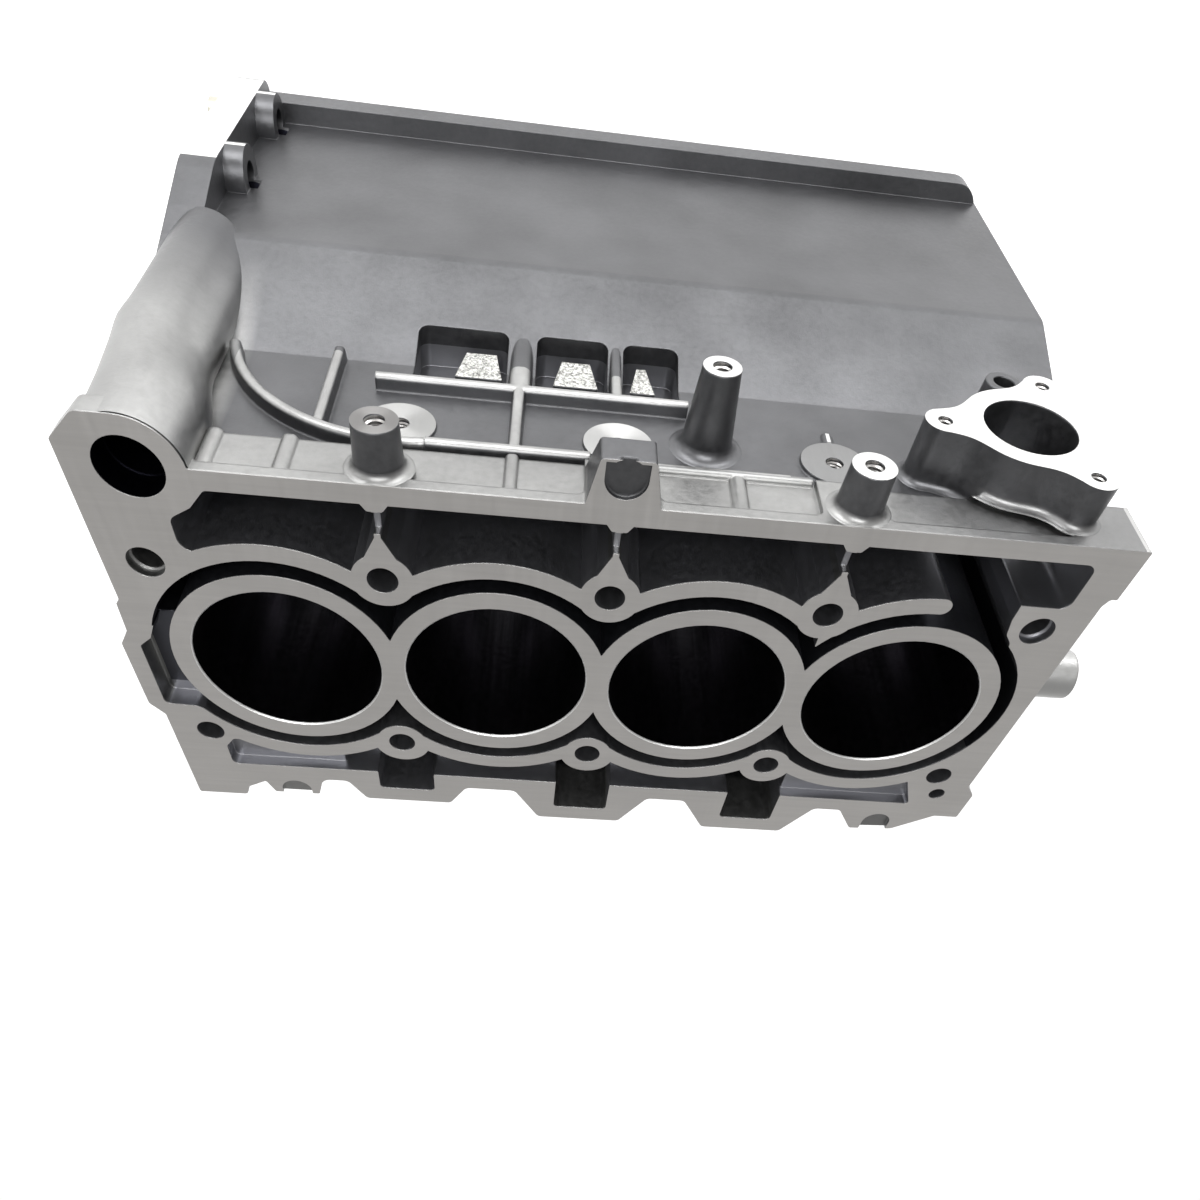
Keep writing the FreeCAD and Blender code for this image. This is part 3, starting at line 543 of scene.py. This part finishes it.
# ---------------------------------------------------------------- the other materials
def metal_material(name, colour, roughness):
    """Plain turned or milled steel or iron, with fine lines and a little mottling."""
    material, tree, shader = new_material(name)
    at = Surface(tree)
    lines = noise(tree, at.place, 900.0, 3.0, 0.6, (1.0, 1.0, 0.2))
    cloud = noise(tree, at.place, 90.0, 3.0)
    shade = calc(tree, "ADD", spread(tree, lines, 0.93, 1.07), spread(tree, cloud, -0.12, 0.12))
    shader.inputs["Metallic"].default_value = 1.0
    feed(tree, shader.inputs["Base Color"], tone(tree, colour, shade))
    feed(tree, shader.inputs["Roughness"], spread(tree, cloud, roughness - 0.06, roughness + 0.08))
    feed(tree, shader.inputs["Normal"], bump(tree, lines, 0.01 * MM))
    return material


cast_aluminium = casting_material()
cap_iron = metal_material("machined_cap_iron", (0.20, 0.20, 0.205), 0.42)
bolt_steel = metal_material("phosphated_bolt_steel", (0.13, 0.13, 0.135), 0.40)
plug_steel = metal_material("plated_plug_steel", (0.55, 0.53, 0.46), 0.32)
# darker than the cut faces: painted shade inside the tapped holes
thread_painted_shade_metal = metal_material("cut_thread_aluminium_painted_shade", (0.42, 0.41, 0.40), 0.30)

by_slot = {"casting": cast_aluminium, "cap_iron": cap_iron,
           "bolt_steel": bolt_steel, "plug_steel": plug_steel}
slot_of_node = {part["node"]: part["material_slot"] for part in frame["record"]["subparts"]}
for name, node in frame["nodes"].items():
    node.data.materials.clear()
    node.data.materials.append(by_slot[slot_of_node[name]])


# ---------------------------------------------------------------- threads in the tapped holes
def casting_piece(name, mesh, material):
    """Piece made from a finished bmesh, with the given material; it rides with the block."""
    data = bpy.data.meshes.new(name)
    mesh.to_mesh(data)
    mesh.free()
    data.materials.append(material)
    piece = bpy.data.objects.new(name, data)
    bpy.context.scene.collection.objects.link(piece)
    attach(piece, "root")
    return piece


def thread(name, mouth, outward, radius, pitch, length, ridge):
    """Helical ridge on the wall of a tapped hole, from just inside its mouth."""
    mesh = bmesh.new()
    steps = 30                                                # points a turn
    section = ((-0.46, 0), (-0.08, 1), (0.08, 1), (0.46, 0))  # place along the pitch, and 1 on the crest
    foot = -0.05                                              # the ridge's foot is sunk in the wall
    turns = length / pitch
    axis = Vector(outward).normalized()
    side = axis.orthogonal().normalized()
    other = axis.cross(side)
    rows = []
    for k in range(int(turns * steps) + 1):
        angle = 2 * math.pi * k / steps
        ray = side * math.cos(angle) + other * math.sin(angle)
        depth = pitch * (0.6 + k / steps)
        grow = min(1.0, k / steps, (turns * steps - k) / steps)
        row = []
        for across, on_crest in section:
            rise = grow if on_crest else foot
            point = Vector(mouth) - axis * (depth + across * pitch) + ray * (radius - rise * ridge)
            row.append(mesh.verts.new(point))
        rows.append(row)
    for first, second in zip(rows, rows[1:]):
        for k in range(3):
            mesh.faces.new((first[k], first[k + 1], second[k + 1], second[k]))
        mesh.faces.new((first[3], first[0], second[0], second[3]))
    mesh.faces.new(rows[0][::-1])
    mesh.faces.new(rows[-1])
    bmesh.ops.recalc_face_normals(mesh, faces=mesh.faces)
    casting_piece(name, mesh, thread_painted_shade_metal)


for name, mount in mounts.items():
    if mount["kind"] == "threaded_hole":
        mouth = Vector(mount["pos_m"])
        mouth.y = long_boss_y if name == "long_boss" else machined_y
        radius = mount["dims"]["r_mm"] * MM
        length = min(mount["dims"]["length_mm"] * MM, longest_thread)
        pitch = large_pitch if radius > small_hole_radius else small_pitch
        thread(f"thread_{name}", mouth, mount["axis"], radius, pitch, length, 0.55 * pitch)
for name, place in pads.items():
    thread(f"thread_{name}", place, (0.0, -1.0, 0.0), pad_hole_radius, large_pitch,
           pad_thread_length, 0.5 * MM)


# ---------------------------------------------------------------- skins over the casting, in millimetres
def in_mm(mount, *axes):
    """Coordinates of a mount along the given axes, in millimetres."""
    return [mounts[mount]["pos_m"][axis] / MM for axis in axes]


def unit(value):
    """Value held between 0 and 1."""
    return max(0.0, min(1.0, value))


def smooth_least(a, b, reach):
    """Smaller of two distances, blended where they are within reach of each other."""
    share = unit(0.5 + 0.5 * (b - a) / reach)
    return b * (1 - share) + a * share - reach * share * (1 - share)


def hollow_curve(size, steps=8):
    """Quarter round between a wall and the plane it stands on: (distance out, height)."""
    return [(size * (1 - math.sin(math.pi / 2 * k / steps)), size * (1 - math.cos(math.pi / 2 * k / steps)))
            for k in range(steps + 1)]


def outline(distance, centre, out, near, far, count):
    """Points round the centre at which distance is out, found by halving each ray between near and far."""
    points = []
    for k in range(count):
        ray = (math.cos(2 * math.pi * k / count), math.sin(2 * math.pi * k / count))
        inner, outer = near, far
        for _ in range(26):
            middle = (inner + outer) / 2
            inside = distance(centre[0] + middle * ray[0], centre[1] + middle * ray[1]) < out
            inner, outer = (middle, outer) if inside else (inner, middle)
        points.append((centre[0] + inner * ray[0], centre[1] + inner * ray[1]))
    return points


def skin(name, rows):
    """Smooth band of faces through rows of points; each row runs once round."""
    mesh = bmesh.new()
    rings = [[mesh.verts.new(point * MM) for point in row] for row in rows]
    count = len(rings[0])
    for first, second in zip(rings, rings[1:]):
        for k in range(count):
            after = (k + 1) % count
            mesh.faces.new((first[k], first[after], second[after], second[k])).smooth = True
    casting_piece(name, mesh, cast_aluminium)


def boss_foot(name, mount, foot_y, radius, draft, size):
    """Hollow rounding where a round boss meets the face behind it."""
    x, z = in_mm(mount, 0, 2)
    points = 72
    rows = []
    for out, height in [(size + skin_sink, -skin_sink)] + hollow_curve(size):
        row = []
        for k in range(points):
            angle = 2 * math.pi * k / points
            reach = radius - draft * max(height, 0.0) + out + (0.02 if height >= 0 else 0.0)
            up = min(z + reach * math.sin(angle), deck_z / MM - 0.05)
            row.append(Vector((x + reach * math.cos(angle), foot_y / MM - height, up)))
        rows.append(row)
    skin(name, rows)


def pump_distance(x, z):
    """Distance outside the pump flange's outline, with its hollows rounded."""
    centre = in_mm("pump_bore", 0, 2)
    nearest = math.hypot(x - centre[0], z - centre[1]) - pump_ring_radius
    for k in range(1, 4):
        ear = in_mm(f"pump_bolt_{k}", 0, 2)
        run = (ear[0] - centre[0], ear[1] - centre[1])
        share = unit(((x - centre[0]) * run[0] + (z - centre[1]) * run[1]) / math.hypot(*run) ** 2)
        off = math.hypot(x - centre[0] - run[0] * share, z - centre[1] - run[1] * share)
        nearest = smooth_least(nearest, off - (pump_neck + (pump_ear - pump_neck) * share), pump_blend)
    return nearest


def pump_flange():
    """Outside of the pump flange: hollows between its ears, a rounded foot, and the rim of its seat."""
    centre = in_mm("pump_bore", 0, 2)
    seat = machined_y / MM - pump_skin_lift
    sections = [(pump_foot_size + 0.2, -skin_sink)] + hollow_curve(pump_foot_size)
    rows = []
    for out, height in sections:
        row = []
        for x, z in outline(pump_distance, centre, out, 5.0, 60.0, 240):
            rise = unit(z - (deck_z / MM - pump_foot_top))
            foot = wall_y / MM + rise * (front_edge_y - wall_y) / MM
            row.append(Vector((x, foot - height, z)))
        rows.append(row)
    for out in (0.0, -pump_rim_width):
        rows.append([Vector((x, seat, z)) for x, z in outline(pump_distance, centre, out, 5.0, 60.0, 240)])
    skin("pump_flange_sides", rows[:-1])
    skin("pump_flange_rim", rows[-2:])


def column_row(drop):
    """Points round the corner column at this drop below the deck, the deck's lobe blended into it."""
    axis = in_mm("corner_passage", 0, 1)
    lean = unit((drop - column_start) / column_run)
    middle = (axis[0] + column_lean[0] * lean, axis[1] + column_lean[1] * lean)
    radius = lobe_radius - 0.6 + (column_radius - lobe_radius + 0.7) * lean
    radius += 0.5 * math.exp(-((drop - column_run - column_start) / 9.0) ** 2)
    fade = unit((drop - lobe_fade[0]) / lobe_fade[1])
    lobe = lobe_radius + 0.06 - lobe_taper * fade * fade * (3 - 2 * fade)

    def distance(x, y):
        return smooth_least(math.hypot(x - axis[0], y - axis[1]) - lobe,
                            math.hypot(x - middle[0], y - middle[1]) - radius, column_blend)

    return [Vector((x, y, deck_z / MM - drop)) for x, y in outline(distance, middle, 0.0, 4.0, 40.0, 96)]


for name, foot in boss_feet.items():
    boss_foot(name, *foot)
pump_flange()
skin("corner_column_skin", [column_row(column_first_drop + column_row_step * k) for k in range(column_rows)])


# ---------------------------------------------------------------- floor, light and camera
def floor():
    """Pale floor: white to the camera and in reflections, with the block's shadow on it."""
    bpy.ops.mesh.primitive_plane_add(size=60.0, location=(0, 0, rail_z))
    plane = bpy.context.object
    plane.name = "floor"
    material, tree, shader = new_material("pale_floor")
    tree.nodes.remove(shader)
    paint = tree.nodes.new("ShaderNodeBsdfDiffuse")
    paint.inputs["Color"].default_value = (0.8, 0.8, 0.8, 1.0)
    glow = tree.nodes.new("ShaderNodeEmission")
    path = tree.nodes.new("ShaderNodeLightPath")
    seen = calc(tree, "MAXIMUM", path.outputs["Is Camera Ray"], path.outputs["Is Glossy Ray"])
    seen = calc(tree, "MAXIMUM", seen, path.outputs["Is Transmission Ray"])
    tree.links.new(calc(tree, "MULTIPLY", seen, 0.6), glow.inputs["Strength"])
    both = tree.nodes.new("ShaderNodeAddShader")
    tree.links.new(paint.outputs[0], both.inputs[0])
    tree.links.new(glow.outputs[0], both.inputs[1])
    tree.links.new(both.outputs[0], tree.nodes["Material Output"].inputs["Surface"])
    plane.data.materials.append(material)


def world():
    """Soft pale room, darker overhead, the same to the camera and in reflections."""
    room = bpy.data.worlds.new("studio")
    bpy.context.scene.world = room
    room.use_nodes = True
    tree = room.node_tree
    background = tree.nodes["Background"]
    coordinates = tree.nodes.new("ShaderNodeTexCoord")
    split = tree.nodes.new("ShaderNodeSeparateXYZ")
    tree.links.new(coordinates.outputs["Generated"], split.inputs[0])
    level = span(tree, split.outputs[2], 0.0, 0.9, 0.75, 0.42)
    tree.links.new(level, background.inputs["Strength"])
    background.inputs["Color"].default_value = (1.0, 0.995, 0.985, 1.0)


def softbox(name, place, target, width, height, power):
    """Rectangular lamp in metres and watts, turned towards its target and unseen by the camera."""
    light = bpy.data.lights.new(name, "AREA")
    light.shape = "RECTANGLE"
    light.size, light.size_y = width, height
    light.energy = power
    lamp = bpy.data.objects.new(name, light)
    lamp.location = place
    lamp.rotation_euler = (Vector(target) - Vector(place)).to_track_quat("-Z", "Y").to_euler()
    lamp.visible_camera = False
    bpy.context.scene.collection.objects.link(lamp)


def camera():
    """Camera at the photograph's angle, solved from the four cylinders and the edges of the deck."""
    data = bpy.data.cameras.new("camera")
    data.sensor_width = 36.0
    data.lens = 26.597
    data.shift_x = 0.00396
    data.shift_y = 0.18167
    data.clip_start = 0.01
    view = bpy.data.objects.new("camera", data)
    view.location = (0.02736, -0.26407, 0.46009)
    view.rotation_euler = [math.radians(angle) for angle in (-54.98664, -0.03476, -174.27997)]
    bpy.context.scene.collection.objects.link(view)
    bpy.context.scene.camera = view


floor()
world()
softbox("front_low", (0.0, -0.75, 0.02), (0.0, -0.08, 0.13), 1.1, 0.30, 8.0)
softbox("overhead_front", (0.05, -0.65, 0.95), (0.0, -0.05, 0.16), 0.9, 0.30, 8.5)
softbox("side_left", (0.95, -0.45, 0.45), (0.1, -0.05, 0.12), 0.5, 0.7, 2.0)
camera()
bpy.context.scene.view_settings.view_transform = "Standard"
